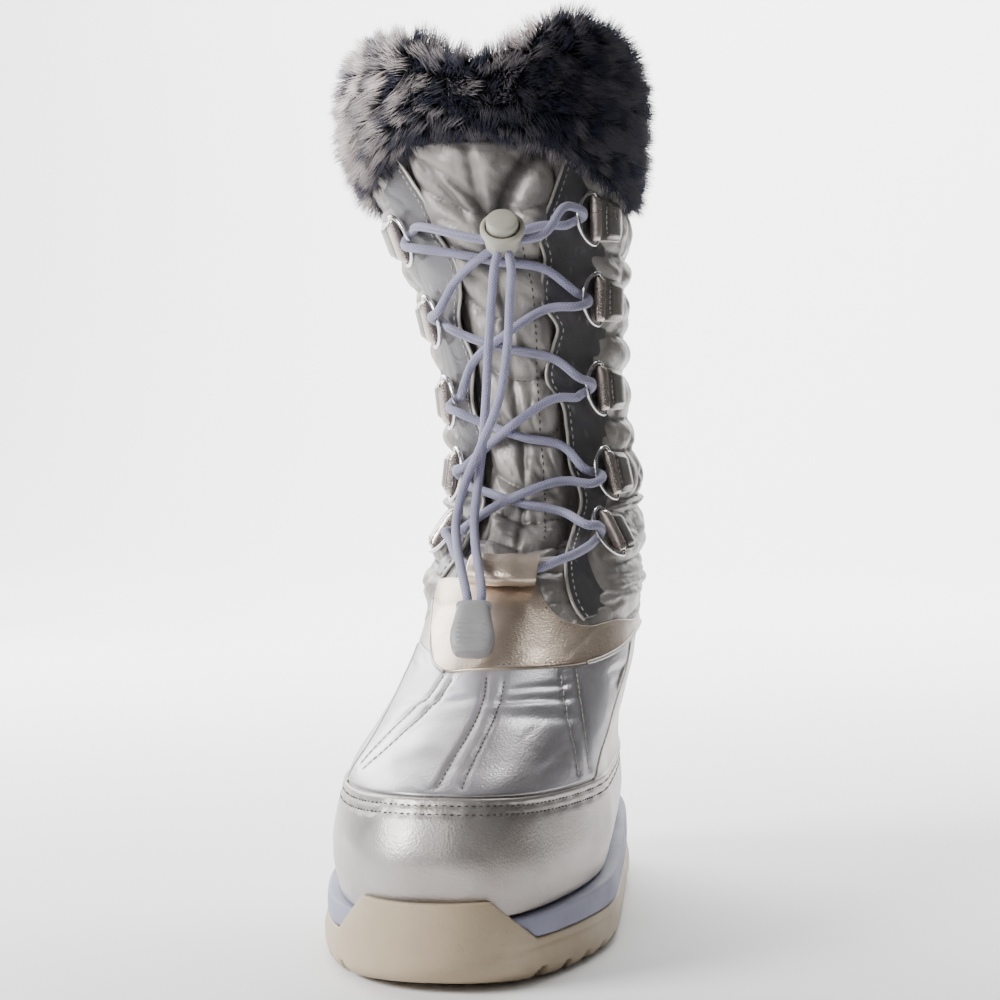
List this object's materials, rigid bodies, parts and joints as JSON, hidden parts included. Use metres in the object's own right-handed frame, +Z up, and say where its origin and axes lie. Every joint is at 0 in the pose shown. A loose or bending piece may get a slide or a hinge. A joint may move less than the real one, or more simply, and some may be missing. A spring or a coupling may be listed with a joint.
{
  "type": "lace-up snow boot",
  "caption": "Mid-calf winter boot: rubber cup sole with toe bumper, foam wedge, hollow upper, padded tongue, laced D-rings, cord lock and a deep fur cuff.",
  "frame": {"origin": "middle of the boot's outer box in plan, at the floor that the tread stands on", "axes": "+Z up; -Y towards the toe; +X towards the inner (medial) side of the foot"},
  "size_m": [0.1336, 0.2892, 0.355],
  "materials": {
    "sole_rubber": "semi-matte tan rubber",
    "midsole_foam": "matte lavender foam",
    "insole_felt": "matte felt",
    "silver_shell": "satin silver coated leather and quilted nylon",
    "quilted_nylon": "satin quilted nylon",
    "silver_overlay": "satin champagne-silver coated leather",
    "ring_metal": "bright plated wire",
    "lace_cord": "matte round braided cord",
    "lock_plastic": "matte moulded plastic",
    "clip_plastic": "matte moulded plastic",
    "dark_fur": "long dark pile with lighter tips"
  },
  "bodies": {
    "boot": {"outsole": "sole_rubber", "midsole": "midsole_foam", "insole": "insole_felt", "upper": "silver_shell", "tongue": "quilted_nylon", "saddle": "silver_overlay", "eyestay_medial": "silver_overlay", "eyestay_lateral": "silver_overlay", "tab_medial_1": "silver_overlay", "tab_medial_2": "silver_overlay", "tab_medial_3": "silver_overlay", "tab_medial_4": "silver_overlay", "tab_medial_5": "silver_overlay", "tab_lateral_1": "silver_overlay", "tab_lateral_2": "silver_overlay", "tab_lateral_3": "silver_overlay", "tab_lateral_4": "silver_overlay", "tab_lateral_5": "silver_overlay", "ring_medial_1": "ring_metal", "ring_medial_2": "ring_metal", "ring_medial_3": "ring_metal", "ring_medial_4": "ring_metal", "ring_medial_5": "ring_metal", "ring_lateral_1": "ring_metal", "ring_lateral_2": "ring_metal", "ring_lateral_3": "ring_metal", "ring_lateral_4": "ring_metal", "ring_lateral_5": "ring_metal", "lace_tunnel": "silver_overlay", "lace_cross_1": "lace_cord", "lace_cross_2": "lace_cord", "lace_cross_3": "lace_cord", "lace_cross_4": "lace_cord", "lace_bar": "lace_cord", "lace_top_medial": "lace_cord", "lace_top_lateral": "lace_cord", "lace_end_a": "lace_cord", "lace_end_b": "lace_cord", "cord_lock": "lock_plastic", "cord_end": "clip_plastic", "fur_cuff": "dark_fur"},
    "button": {"lock_button": "lock_plastic"}
  },
  "joints": [
    {"name": "lock_press", "type": "slide", "parent": "boot", "child": "button", "axis": [-0.0801, 0.7618, -0.6428], "range_m": [0, 0.003], "stiffness_N_per_m": 1500, "springref_m": -0.001}
  ]
}
